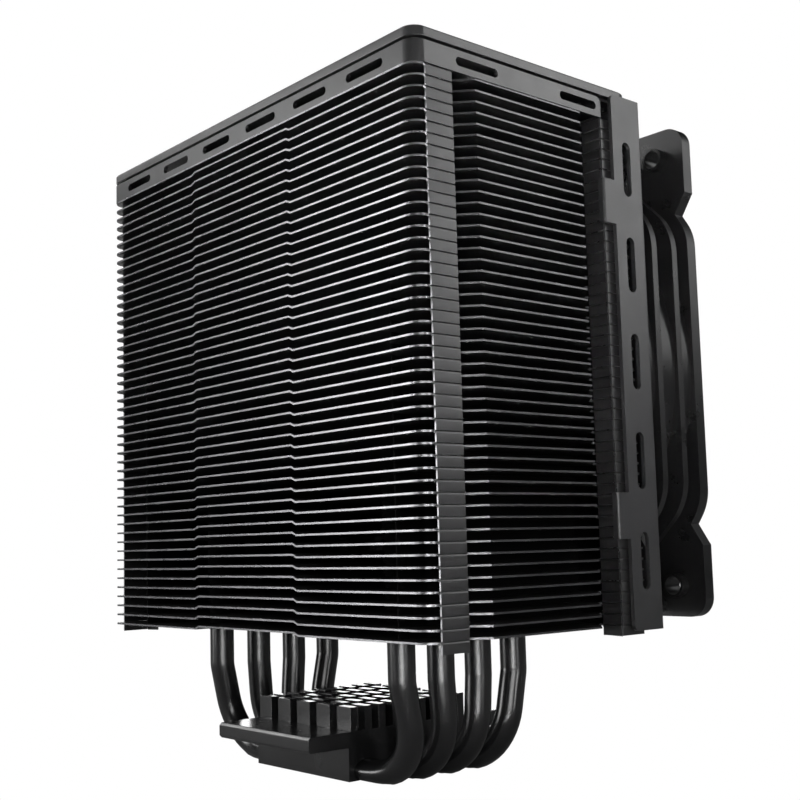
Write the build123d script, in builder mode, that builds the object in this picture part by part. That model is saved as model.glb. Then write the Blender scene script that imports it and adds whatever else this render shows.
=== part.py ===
"""CPU tower cooler: a folded-fin tower on four direct-touch heat pipes, with one 120 mm fan on two rails.

Frame: +Z up, millimetres. The origin is the middle of the face that presses on the processor. The fan
draws air in at -Y and blows it through the fins towards +Y.
"""
import os
from math import cos, pi, radians, sin

from build123d import *

os.makedirs("parts", exist_ok=True)

# ---------------------------------------------------------------- driving dimensions (mm)
# Fin tower
FIN_WIDTH = 125.4          # across X
FIN_DEPTH = 66.6           # along the air, Y
FIN_COUNT = 49
FIN_PITCH = 2.358
FIN_SHEET = 0.4
FIRST_FIN_Z = 32.9         # middle of the lowest sheet
CORNER_R = 3.3
STEP_HEIGHT = 0.57         # the middle third of each fin stands this much higher
STEP_INNER_X = 19.4
STEP_OUTER_X = 20.8
TAB_END = 10.4             # corner tabs run from the corner radius to this distance from the fin's face
TAB_DROP = 2.15            # a folded tab hangs this far below its sheet's middle, just clear of the next fin
NOTCH_DEPTH = 6.0
NOTCH_END = 17.3           # where the notch's slope meets the side again
NOTCH_EASE = 2.0           # radius where the slope meets the side
COLLAR_WALL = 0.35
COLLAR_DROP = 1.4
GUIDE_X = 50.0             # flaps folded down along the air, one on each side of the fin
GUIDE_FRONT_Y = 30.0
GUIDE_BACK_Y = -33.0

# Heat pipes
PIPE_R = 3.0
PIPE_WALL = 0.4
WICK_WALL = 0.7
PIPE_FIT = 0.02
LEG_X = 35.2
LEG_PITCH = 11.2           # spacing along Y in the fins
BASE_PITCH = 8.4           # spacing along Y in the base
PIPE_TOP_Z = 149.2
KINK_Z = 22.4              # the legs lean inwards below this height
KINK_R = 8.0
ELBOW_R = 12.0
PIPE_AXIS_Z = 2.5          # height of the axis where the pipe runs level, before it is pressed and milled
FLAT_HALF_WIDTH = 3.8      # pressed section inside the base, half its width and half its height
FLAT_HALF_HEIGHT = 2.45
FLAT_AXIS_Z = 2.0
TIP_CHAMFER = 1.4

# Base
BASE_WIDTH = 35.6          # X
BASE_DEPTH = 35.8          # Y
WING_LENGTH = 57.6         # Y, over both wings
WING_UNDER_Z = 7.3
WING_TOP_Z = 10.8
WING_CHAMFER = 0.6
PIN_TOP_Z = 16.0
PIN_COLUMNS = 5            # across X
PIN_ROWS = 9               # along Y
PIN_WIDTH = 4.9
PIN_LENGTH = 2.05
PIN_FIELD_X = 35.6
PIN_FIELD_Y = 34.4

# Top cover
BAND_UNDER_Z = 146.3
BAND_TOP_Z = 151.0
BAND_WALL = 1.0
BAND_END_Y = -23.2         # the band's side panels stop here, short of the fan rails
BAND_EASE = 1.6
WEB_SHEET = 0.9
WEB_INSET = 4.0
CAP_UNDER_Z = 151.7
CAP_TOP_Z = 153.9
CAP_CHAMFER = 0.35
SPACER_INSET = 1.4
SLOT_LENGTH = 12.0
SLOT_HEIGHT = 1.9
SLOT_Z = 148.65
FRONT_SLOTS = 6
FRONT_SLOT_PITCH = 19.0
SIDE_SLOT_Y = 15.6

# Fan
FAN_SIZE = 120.0
FAN_Z = 92.6
FAN_BACK_Y = -35.2         # the face that looks at the fins
FAN_DEPTH = 25.0
FLANGE = 3.2
FAN_CORNER_R = 4.7
HOLE_SPACING = 105.0
HOLE_R = 2.2
HOLE_BOSS_R = 2.8          # low ring around each hole, on the inner side of the intake flange
HOLE_BOSS = 2.6
BORE_R = 57.8
DUCT_WALL = 1.4
NOTCH_FAR = 43.0           # the V notches in each edge, measured from the fan's middle
NOTCH_TIP = 38.0
NOTCH_NEAR = 33.0
NOTCH_IN = 3.2
NOTCH_SWELL_R = 12.0       # radius where the notch runs out into the middle of the edge
RIB_SHEET = 1.9
RIB_OFFSETS = (7.8, 15.5)  # near face of each middle rib, measured from the fan's back face
RIB_CORNER = 27.0
RIB_CORNER_R = 14.0
STRUT_COUNT = 4
STRUT_WIDTH = 4.2
STRUT_DEPTH = 3.0
STRUT_OVERRUN = 2.0        # the struts are drawn this much too long and then trimmed to the bore
LABEL_RECESS = 0.2
HUB_R = 20.5
MOTOR_BASE_R = 21.0
MOTOR_BASE_SHEET = 1.8
OUTLET_WIDTH = 5.0         # notch in the duct's wall where the lead would leave
OUTLET_GAP = 0.6           # from the notch to the first rib

# Impeller and motor, as distances from the fan's back face towards the intake
HUB_START = 6.6
HUB_END = 24.0
HUB_WALL = 1.3
BLADES = 9
FIRST_BLADE = 12.0         # turn of the first blade from +X, in degrees
BLADE_SHEET = 1.5
BLADE_TIP_R = 56.6
BLADE_START = 5.6
BLADE_END = 23.0
CUP_WALL = 0.9
CUP_DEPTH = 13.6
MAGNET_WALL = 1.8
MAGNET_HEIGHT = 9.0
MAGNET_INSET = 0.3
STATOR_R = 15.4
STATOR_BORE_R = 4.3
STATOR_HEIGHT = 4.0
STATOR_START = 11.0
POLES = 4
POLE_WIDTH = 5.0
POLE_SHOE = 1.6
SHOE_HALF_ANGLE = 34
BOBBIN_WALL = 0.7
COIL_THICKNESS = 1.5
COIL_INNER_R = 8.4
COIL_LENGTH = 4.3
POST_R = 0.7
SHAFT_R = 1.5
SHAFT_START = 2.7
GROOVE_R = 1.1
RETAINER_START = 4.0
RETAINER_SHEET = 0.35
RETAINER_R = 2.55
THRUST_SHEET = 1.6
SLEEVE_R = 3.6
SLEEVE_START = 4.8
SLEEVE_LENGTH = 13.4
SLEEVE_LEDGE = 0.8
RUNNING_FIT = 0.04
TUBE_R = 4.25
BOARD_R = 16.5
BOARD_SHEET = 1.0
BOARD_START = 6.5
CHIP_HEIGHT = 0.9
LABEL_R = 18.4
LABEL_SHEET = 0.18

# Fan rails
RAIL_SHEET = 1.0
RAIL_GAP = 0.5             # from the fin tabs to the inside of the rail
RAIL_FRONT_Y = -25.1
RAIL_LOW_Z = 31.6
RAIL_HIGH_Z = 151.9
RAIL_EASE = 1.5
RAIL_LUG_REACH = 18.0
RAIL_LUG_HEIGHT = 13.0
FOLD_R = 0.6
RAIL_SLOTS = 5
RAIL_SLOT_PITCH = 22.1
RAIL_SLOT_LENGTH = 12.6
RAIL_SLOT_WIDTH = 2.8
RAIL_SLOT_Y = -29.75
RAIL_SLOT_MIDDLE_Z = 90.8
HOOK_HEIGHTS = (56.5, 126.7)
HOOK_HEIGHT = 10.1
HOOK_REACH_Y = -21.3
HOOK_INWARD = 1.7
HOOK_SHEET = 1.2

# Screws that hold the rails on the fan
SCREW_R = 2.15
SCREW_HEAD_R = 3.1
SCREW_HEAD = 0.94
SCREW_LENGTH = 5.0
DRIVE_WIDTH = 0.8
DRIVE_DEPTH = 0.7

# ---------------------------------------------------------------- worked out from the above
HALF_X = FIN_WIDTH / 2
HALF_Y = FIN_DEPTH / 2
LAST_FIN_Z = FIRST_FIN_Z + (FIN_COUNT - 1) * FIN_PITCH
PIPE_INDEX = (-1.5, -0.5, 0.5, 1.5)


def fan_plane(distance):
    """A plane across the fan, looking towards the intake, at a distance from the fan's back face."""
    return Plane(origin=(0, FAN_BACK_Y - distance, FAN_Z), x_dir=(1, 0, 0), z_dir=(0, -1, 0))


def save(builder, name):
    """Label a finished sub-part and write its STEP file."""
    builder.part.label = name
    export_step(builder.part, f"parts/{name}.step")


# ---------------------------------------------------------------- fins
def fin_outline():
    """Half of the fin's outline, +X side, as points from the front middle to the back middle."""
    tab, slope, floor = HALF_Y - TAB_END, HALF_Y - NOTCH_END, HALF_X - NOTCH_DEPTH
    upper = [(0, HALF_Y), (HALF_X, HALF_Y), (HALF_X, tab), (floor, tab),
             (floor, slope + NOTCH_DEPTH), (HALF_X, slope)]
    lower = [(x, -y) for x, y in reversed(upper)]
    return upper + lower


def fin(step, guided, z):
    """One folded fin: outer thirds at height z, middle third raised by step, with or without air guides."""
    low, high = -FIN_SHEET / 2, FIN_SHEET / 2
    with BuildPart() as sheet:
        with BuildSketch(Plane.XZ.offset(-HALF_Y)):
            with BuildLine():
                Polyline((0, low + step), (STEP_INNER_X, low + step), (STEP_OUTER_X, low), (HALF_X, low),
                         (HALF_X, high), (STEP_OUTER_X, high), (STEP_INNER_X, high + step),
                         (0, high + step), (0, low + step))
            make_face()
        extrude(amount=FIN_DEPTH)
        with BuildSketch(Plane.XY.offset(-FIN_PITCH)) as outline:
            with BuildLine():
                Polyline(*fin_outline(), (0, HALF_Y))
            make_face()
            corners = [v for v in outline.vertices() if v.X > HALF_X - 1 and abs(v.Y) > HALF_Y - 1]
            fillet(corners, CORNER_R)
            eased = [v for v in outline.vertices() if v.X > HALF_X - 1 and abs(v.Y) < HALF_Y - NOTCH_END + 1]
            fillet(eased, NOTCH_EASE)
        extrude(amount=2 * FIN_PITCH, mode=Mode.INTERSECT)
        for end in (-1, 1):
            tab_middle = end * (HALF_Y - (TAB_END + CORNER_R) / 2)
            with Locations((HALF_X - FIN_SHEET / 2, tab_middle, -TAB_DROP / 2)):
                Box(FIN_SHEET, TAB_END - CORNER_R, TAB_DROP)
            with Locations((HALF_X - NOTCH_DEPTH / 2, end * (HALF_Y - TAB_END + FIN_SHEET / 2), -TAB_DROP / 2)):
                Box(NOTCH_DEPTH - 1.2, FIN_SHEET, TAB_DROP)
        if guided:
            with Locations((GUIDE_X, (GUIDE_FRONT_Y + GUIDE_BACK_Y) / 2, -TAB_DROP / 2)):
                Box(FIN_SHEET, GUIDE_FRONT_Y - GUIDE_BACK_Y, TAB_DROP)
        legs = [(LEG_X, LEG_PITCH * index) for index in PIPE_INDEX]
        with Locations(*[(x, y, -COLLAR_DROP / 2) for x, y in legs]):
            Cylinder(PIPE_R + COLLAR_WALL, COLLAR_DROP)
        with Locations(*[(x, y, 0) for x, y in legs]):
            Cylinder(PIPE_R + PIPE_FIT, 2 * FIN_PITCH, mode=Mode.SUBTRACT)
        mirror(about=Plane.YZ)
    return sheet.part.moved(Location((0, 0, z)))


lowest_fin = fin(STEP_HEIGHT, False, FIRST_FIN_Z)
middle_fin = fin(STEP_HEIGHT, True, 0)
highest_fin = fin(0, True, LAST_FIN_Z)
middle_heights = [FIRST_FIN_Z + row * FIN_PITCH for row in range(1, FIN_COUNT - 1)]
middle_fins = [middle_fin.moved(Location((0, 0, z))) for z in middle_heights]
with BuildPart() as fin_stack:
    add([lowest_fin, *middle_fins, highest_fin], mode=Mode.REPLACE)
save(fin_stack, "fin_stack")


# ---------------------------------------------------------------- heat pipes
def pipe_body(index, inset):
    """A U-shaped pipe, or the space inside it when inset is more than nothing."""
    top, base_y = PIPE_TOP_Z - inset, index * BASE_PITCH
    elbow_end = LEG_X - ELBOW_R - 1.0
    press_end = BASE_WIDTH / 2 + 0.4
    with BuildPart() as pipe:
        with BuildLine() as route:
            FilletPolyline((LEG_X, index * LEG_PITCH, top), (LEG_X, index * LEG_PITCH, KINK_Z),
                           (LEG_X, base_y, PIPE_AXIS_Z), (elbow_end, base_y, PIPE_AXIS_Z),
                           radius=[KINK_R, ELBOW_R])
        with BuildSketch(Plane(origin=route.line @ 0, z_dir=route.line % 0, x_dir=(0, 1, 0))):
            Circle(PIPE_R - inset)
        sweep(path=route.line)
        chamfer(pipe.faces().sort_by(Axis.Z)[-1].edges(), TIP_CHAMFER)
        with BuildSketch(Plane(origin=(elbow_end, base_y, PIPE_AXIS_Z), z_dir=(-1, 0, 0), x_dir=(0, 1, 0))):
            Circle(PIPE_R - inset)
        with BuildSketch(Plane(origin=(press_end, base_y, FLAT_AXIS_Z), z_dir=(-1, 0, 0), x_dir=(0, 1, 0))):
            Ellipse(FLAT_HALF_WIDTH - inset, FLAT_HALF_HEIGHT - inset)
        loft()
        with BuildSketch(Plane(origin=(press_end, base_y, FLAT_AXIS_Z), z_dir=(-1, 0, 0), x_dir=(0, 1, 0))):
            Ellipse(FLAT_HALF_WIDTH - inset, FLAT_HALF_HEIGHT - inset)
        extrude(amount=press_end)
        split(bisect_by=Plane.XY.offset(inset), keep=Keep.TOP)
        mirror(about=Plane.YZ)
    return pipe.part


for number, index in enumerate(PIPE_INDEX, start=1):
    bore = pipe_body(index, PIPE_WALL)
    with BuildPart() as heat_pipe:
        add(pipe_body(index, 0))
        add(bore, mode=Mode.SUBTRACT)
    save(heat_pipe, f"heat_pipe_{number}")
    with BuildPart() as wick:
        add(bore)
        add(pipe_body(index, PIPE_WALL + WICK_WALL), mode=Mode.SUBTRACT)
    save(wick, f"pipe_wick_{number}")


# ---------------------------------------------------------------- base
with BuildPart() as base_block:
    with BuildSketch(Plane.XY):
        Rectangle(BASE_WIDTH, BASE_DEPTH)
    extrude(amount=WING_UNDER_Z)
    with BuildSketch(Plane.XY.offset(WING_UNDER_Z)):
        Rectangle(BASE_WIDTH, WING_LENGTH)
    extrude(amount=WING_TOP_Z - WING_UNDER_Z)
    tips = base_block.edges().filter_by(Axis.X).group_by(Axis.Y)
    chamfer(tips[0] + tips[-1], WING_CHAMFER)
    with BuildSketch(Plane.XY.offset(WING_TOP_Z)):
        column_pitch = (PIN_FIELD_X - PIN_WIDTH) / (PIN_COLUMNS - 1)
        row_pitch = (PIN_FIELD_Y - PIN_LENGTH) / (PIN_ROWS - 1)
        with GridLocations(column_pitch, row_pitch, PIN_COLUMNS, PIN_ROWS):
            Rectangle(PIN_WIDTH, PIN_LENGTH)
    extrude(amount=PIN_TOP_Z - WING_TOP_Z)
    with BuildSketch(Plane.YZ.offset(-BASE_WIDTH / 2)):
        with Locations(*[(index * BASE_PITCH, FLAT_AXIS_Z) for index in PIPE_INDEX]):
            Ellipse(FLAT_HALF_WIDTH + PIPE_FIT, FLAT_HALF_HEIGHT + PIPE_FIT)
    extrude(amount=BASE_WIDTH, mode=Mode.SUBTRACT)
save(base_block, "base_block")

# ---------------------------------------------------------------- top cover
with BuildPart() as top_band:
    with BuildSketch(Plane.XY.offset(BAND_UNDER_Z)):
        RectangleRounded(FIN_WIDTH, FIN_DEPTH, CORNER_R)
        RectangleRounded(FIN_WIDTH - 2 * BAND_WALL, FIN_DEPTH - 2 * BAND_WALL, CORNER_R - BAND_WALL,
                         mode=Mode.SUBTRACT)
    extrude(amount=BAND_TOP_Z - BAND_UNDER_Z)
    split(bisect_by=Plane.XZ.offset(-BAND_END_Y), keep=Keep.BOTTOM)
    ends = top_band.edges().filter_by(Axis.X).group_by(Axis.Y)[0].group_by(Axis.Z)[-1]
    fillet(ends, BAND_EASE)
    with BuildSketch(Plane.XZ.offset(-HALF_Y)):
        with GridLocations(FRONT_SLOT_PITCH, 1, FRONT_SLOTS, 1):
            with Locations((0, SLOT_Z)):
                SlotOverall(SLOT_LENGTH, SLOT_HEIGHT)
    extrude(amount=2 * BAND_WALL, mode=Mode.SUBTRACT)
    with BuildSketch(Plane.YZ.offset(-HALF_X)):
        with Locations((SIDE_SLOT_Y, SLOT_Z), (-SIDE_SLOT_Y, SLOT_Z)):
            SlotOverall(SLOT_LENGTH, SLOT_HEIGHT)
    extrude(amount=FIN_WIDTH, mode=Mode.SUBTRACT)
    web_front, web_back = HALF_Y - BAND_WALL / 2, -HALF_Y + WEB_INSET
    shelf_back = BAND_END_Y + 2 * BAND_EASE
    with BuildSketch(Plane.XY.offset(BAND_TOP_Z - WEB_SHEET)):
        with Locations((0, (web_front + web_back) / 2)):
            Rectangle(FIN_WIDTH - 2 * WEB_INSET, web_front - web_back)
        with Locations((0, (web_front + shelf_back) / 2)):
            RectangleRounded(FIN_WIDTH - BAND_WALL, web_front - shelf_back, CORNER_R - BAND_WALL / 2)
    extrude(amount=WEB_SHEET)
save(top_band, "top_band")

with BuildPart() as top_cap:
    with BuildSketch(Plane.XY.offset(CAP_UNDER_Z)):
        RectangleRounded(FIN_WIDTH, FIN_DEPTH, CORNER_R)
    extrude(amount=CAP_TOP_Z - CAP_UNDER_Z)
    chamfer(top_cap.faces().sort_by(Axis.Z)[-1].edges(), CAP_CHAMFER)
    with BuildSketch(Plane.XY.offset(BAND_TOP_Z)):
        RectangleRounded(FIN_WIDTH - 2 * SPACER_INSET, FIN_DEPTH - 2 * SPACER_INSET, CORNER_R - SPACER_INSET)
    extrude(amount=CAP_UNDER_Z - BAND_TOP_Z)
save(top_cap, "top_cap")


# ---------------------------------------------------------------- fan frame
def flange_outline():
    """The notched square of a fan flange, as points around its middle."""
    half = FAN_SIZE / 2
    dip = half - NOTCH_IN
    edge = [(-half, half), (-NOTCH_FAR, half), (-NOTCH_TIP, dip), (-NOTCH_NEAR, half),
            (NOTCH_NEAR, half), (NOTCH_TIP, dip), (NOTCH_FAR, half)]
    points = []
    for turn in range(4):
        c, s = round(cos(turn * pi / 2)), round(-sin(turn * pi / 2))
        points += [(x * c - y * s, x * s + y * c) for x, y in edge]
    return points


with BuildPart() as fan_frame:
    for start in (0, FAN_DEPTH - FLANGE):
        with BuildSketch(fan_plane(start)) as flange:
            with BuildLine():
                outline = flange_outline()
                Polyline(*outline, outline[0])
            make_face()
            corners = [v for v in flange.vertices() if min(abs(v.X), abs(v.Y)) > FAN_SIZE / 2 - 1]
            fillet(corners, FAN_CORNER_R)
            swells = [v for v in flange.vertices() if abs(max(abs(v.X), abs(v.Y)) - FAN_SIZE / 2) < 0.1
                      and abs(min(abs(v.X), abs(v.Y)) - NOTCH_NEAR) < 0.1]
            fillet(swells, NOTCH_SWELL_R)
            with GridLocations(HOLE_SPACING, HOLE_SPACING, 2, 2):
                Circle(HOLE_R, mode=Mode.SUBTRACT)
        extrude(amount=FLANGE)
    for offset_from_back in RIB_OFFSETS:
        with BuildSketch(fan_plane(offset_from_back)) as rib:
            Rectangle(FAN_SIZE, FAN_SIZE)
            chamfer(rib.vertices(), RIB_CORNER)
            fillet(rib.vertices(), RIB_CORNER_R)
        extrude(amount=RIB_SHEET)
    with BuildSketch(fan_plane(0)):
        Circle(BORE_R + DUCT_WALL)
    extrude(amount=FAN_DEPTH)
    with BuildSketch(fan_plane(0)):
        Circle(BORE_R)
    extrude(amount=FAN_DEPTH, mode=Mode.SUBTRACT)
    with BuildSketch(fan_plane(FAN_DEPTH - FLANGE - HOLE_BOSS)):
        with GridLocations(HOLE_SPACING, HOLE_SPACING, 2, 2):
            Circle(HOLE_BOSS_R)
            Circle(HOLE_R, mode=Mode.SUBTRACT)
    extrude(amount=HOLE_BOSS)
    with BuildSketch(fan_plane(STRUT_DEPTH)):
        with Locations((BORE_R * cos(radians(45)), -BORE_R * sin(radians(45)))):
            Rectangle(OUTLET_WIDTH, OUTLET_WIDTH, rotation=-45)
    extrude(amount=RIB_OFFSETS[0] - STRUT_DEPTH - OUTLET_GAP, mode=Mode.SUBTRACT)
save(fan_frame, "fan_frame")

with BuildPart() as motor_mount:
    with BuildSketch(fan_plane(0)):
        with PolarLocations((BORE_R + MOTOR_BASE_R) / 2, STRUT_COUNT, start_angle=45):
            Rectangle(BORE_R - MOTOR_BASE_R + STRUT_OVERRUN, STRUT_WIDTH)
        Circle(BORE_R, mode=Mode.INTERSECT)
    extrude(amount=STRUT_DEPTH)
    with BuildSketch(fan_plane(0)):
        Circle(MOTOR_BASE_R)
    extrude(amount=MOTOR_BASE_SHEET)
    with BuildSketch(fan_plane(0)):
        Circle(TUBE_R)
    extrude(amount=SLEEVE_START + SLEEVE_LENGTH - 1.0)
    with BuildSketch(fan_plane(SLEEVE_START)):
        Circle(SLEEVE_R + PIPE_FIT)
    extrude(amount=FAN_DEPTH, mode=Mode.SUBTRACT)
    with BuildSketch(fan_plane(0)):
        Circle(SLEEVE_R - SLEEVE_LEDGE)
    extrude(amount=SLEEVE_START, mode=Mode.SUBTRACT)
    with BuildSketch(fan_plane(0)):
        Circle(LABEL_R + PIPE_FIT)
    extrude(amount=LABEL_RECESS, mode=Mode.SUBTRACT)
save(motor_mount, "motor_mount")


# ---------------------------------------------------------------- impeller and motor
def blade_section(radius, chord, pitch_angle, camber, lean):
    """A lens-shaped slice of a blade, square to the blade's own radius."""
    tilt = radians(pitch_angle)
    middle = FAN_BACK_Y - (BLADE_START + BLADE_END) / 2
    face = Plane(origin=(radius, middle, FAN_Z + lean), x_dir=(0, sin(tilt), cos(tilt)), z_dir=(1, 0, 0))
    with BuildSketch(face) as section:
        with BuildLine():
            ThreePointArc((-chord / 2, 0), (0, camber), (chord / 2, 0))
            ThreePointArc((chord / 2, 0), (0, camber - BLADE_SHEET), (-chord / 2, 0))
        make_face()
    return section.sketch


with BuildPart() as blade:
    loft([blade_section(HUB_R - 1.0, 19.0, 58, 3.2, 0), blade_section(38.0, 26.0, 42, 3.4, 2.5),
          blade_section(BLADE_TIP_R + 1.5, 33.0, 31, 3.2, 8.0)])
    with BuildSketch(fan_plane(0)):
        Circle(BLADE_TIP_R)
        Circle(HUB_R - HUB_WALL / 2, mode=Mode.SUBTRACT)
    extrude(amount=FAN_DEPTH, mode=Mode.INTERSECT)

fan_axis = Axis((0, 0, FAN_Z), (0, 1, 0))
with BuildPart() as impeller:
    with BuildSketch(fan_plane(HUB_START)):
        Circle(HUB_R)
    extrude(amount=HUB_END - HUB_START)
    fillet(impeller.faces().sort_by(Axis.Y)[0].edges(), 1.2)
    with BuildSketch(fan_plane(HUB_START)):
        Circle(HUB_R - HUB_WALL)
    extrude(amount=HUB_END - HUB_START - HUB_WALL, mode=Mode.SUBTRACT)
    for turn in range(BLADES):
        add(blade.part.rotate(fan_axis, FIRST_BLADE + turn * 360 / BLADES))
save(impeller, "impeller")

CUP_END = HUB_END - HUB_WALL
CUP_R = HUB_R - HUB_WALL - PIPE_FIT
with BuildPart() as rotor_cup:
    with BuildSketch(fan_plane(CUP_END - CUP_DEPTH)):
        Circle(CUP_R)
        Circle(CUP_R - CUP_WALL, mode=Mode.SUBTRACT)
    extrude(amount=CUP_DEPTH - CUP_WALL)
    with BuildSketch(fan_plane(CUP_END - CUP_WALL)):
        Circle(CUP_R)
        Circle(SHAFT_R, mode=Mode.SUBTRACT)
    extrude(amount=CUP_WALL)
save(rotor_cup, "rotor_cup")

MAGNET_R = CUP_R - CUP_WALL - PIPE_FIT
with BuildPart() as rotor_magnet:
    with BuildSketch(fan_plane(CUP_END - CUP_DEPTH + MAGNET_INSET)):
        Circle(MAGNET_R)
        Circle(MAGNET_R - MAGNET_WALL, mode=Mode.SUBTRACT)
    extrude(amount=MAGNET_HEIGHT)
save(rotor_magnet, "rotor_magnet")

with BuildPart() as rotor_shaft:
    with BuildSketch(fan_plane(SHAFT_START)):
        Circle(SHAFT_R)
    extrude(amount=CUP_END - SHAFT_START)
    with BuildSketch(fan_plane(RETAINER_START)):
        Circle(SHAFT_R)
        Circle(GROOVE_R, mode=Mode.SUBTRACT)
    extrude(amount=RETAINER_SHEET + RUNNING_FIT, mode=Mode.SUBTRACT)
save(rotor_shaft, "rotor_shaft")

with BuildPart() as shaft_retainer:
    with BuildSketch(fan_plane(RETAINER_START + RUNNING_FIT / 2)):
        Circle(RETAINER_R)
        Circle(GROOVE_R + PIPE_FIT, mode=Mode.SUBTRACT)
        with Locations((0, RETAINER_R / 2)):
            Rectangle(GROOVE_R, RETAINER_R, mode=Mode.SUBTRACT)
    extrude(amount=RETAINER_SHEET)
save(shaft_retainer, "shaft_retainer")

with BuildPart() as bearing_sleeve:
    with BuildSketch(fan_plane(SLEEVE_START)):
        Circle(SLEEVE_R)
        Circle(SHAFT_R + RUNNING_FIT, mode=Mode.SUBTRACT)
    extrude(amount=SLEEVE_LENGTH)
    chamfer(bearing_sleeve.edges().filter_by(GeomType.CIRCLE).group_by(Edge.length)[-1], 0.3)
save(bearing_sleeve, "bearing_sleeve")

with BuildPart() as thrust_plate:
    with BuildSketch(fan_plane(SHAFT_START - RUNNING_FIT - THRUST_SHEET)):
        Circle(SLEEVE_R - SLEEVE_LEDGE - PIPE_FIT)
    extrude(amount=THRUST_SHEET)
save(thrust_plate, "thrust_plate")

SHOE_INNER_R = STATOR_R - POLE_SHOE
CORE_RING_R = STATOR_BORE_R + 2.6
with BuildPart() as stator_core:
    with BuildSketch(fan_plane(STATOR_START)):
        Circle(CORE_RING_R)
        with PolarLocations(SHOE_INNER_R / 2, POLES):
            Rectangle(SHOE_INNER_R + 0.4, POLE_WIDTH)
        for pole in range(POLES):
            with BuildLine(mode=Mode.PRIVATE) as shoe:
                middle = pole * 360 / POLES
                outer = CenterArc((0, 0), STATOR_R, middle - SHOE_HALF_ANGLE, 2 * SHOE_HALF_ANGLE)
                inner = CenterArc((0, 0), SHOE_INNER_R, middle - SHOE_HALF_ANGLE, 2 * SHOE_HALF_ANGLE)
                Line(outer @ 0, inner @ 0)
                Line(outer @ 1, inner @ 1)
            make_face(shoe.edges())
        Circle(STATOR_BORE_R, mode=Mode.SUBTRACT)
    extrude(amount=STATOR_HEIGHT)
save(stator_core, "stator_core")

BOBBIN_WIDTH = POLE_WIDTH + 2 * BOBBIN_WALL
BOBBIN_START = STATOR_START - BOBBIN_WALL
BOBBIN_HEIGHT = STATOR_HEIGHT + 2 * BOBBIN_WALL
with BuildPart() as stator_bobbin:
    with BuildSketch(fan_plane(BOBBIN_START)):
        Circle(CORE_RING_R + BOBBIN_WALL)
        with PolarLocations(SHOE_INNER_R / 2 - PIPE_FIT, POLES):
            Rectangle(SHOE_INNER_R, BOBBIN_WIDTH)
        Circle(STATOR_BORE_R, mode=Mode.SUBTRACT)
    extrude(amount=BOBBIN_HEIGHT)
    with BuildSketch(fan_plane(BOARD_START + BOARD_SHEET)):
        with PolarLocations(CORE_RING_R - POST_R, POLES, start_angle=45):
            Circle(POST_R)
    extrude(amount=BOBBIN_START - BOARD_START - BOARD_SHEET)
    add(stator_core.part, mode=Mode.SUBTRACT)
save(stator_bobbin, "stator_bobbin")

with BuildPart() as stator_coils:
    for pole in range(POLES):
        out = Vector(1, 0, 0).rotate(Axis.Y, pole * 360 / POLES)
        middle = Vector(0, FAN_BACK_Y - STATOR_START - STATOR_HEIGHT / 2, FAN_Z)
        with BuildSketch(Plane(origin=middle + out * COIL_INNER_R, x_dir=(0, 1, 0), z_dir=out)):
            RectangleRounded(BOBBIN_HEIGHT + 2 * COIL_THICKNESS, BOBBIN_WIDTH + 2 * COIL_THICKNESS, 1.0)
            Rectangle(BOBBIN_HEIGHT + PIPE_FIT, BOBBIN_WIDTH + PIPE_FIT, mode=Mode.SUBTRACT)
        extrude(amount=COIL_LENGTH)
save(stator_coils, "stator_coils")

with BuildPart() as fan_board:
    with BuildSketch(fan_plane(BOARD_START)):
        Circle(BOARD_R)
        Circle(TUBE_R + PIPE_FIT, mode=Mode.SUBTRACT)
    extrude(amount=BOARD_SHEET)
    with BuildSketch(fan_plane(BOARD_START - CHIP_HEIGHT)):
        with Locations((-10.5, 2.0)):
            Rectangle(4.0, 5.0)
        with Locations((9.5, -5.0), (9.5, 5.5)):
            Rectangle(1.6, 3.2)
    extrude(amount=CHIP_HEIGHT)
save(fan_board, "fan_board")

with BuildPart() as hub_label:
    with BuildSketch(fan_plane(0)):
        Circle(LABEL_R)
    extrude(amount=LABEL_SHEET)
save(hub_label, "hub_label")

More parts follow.
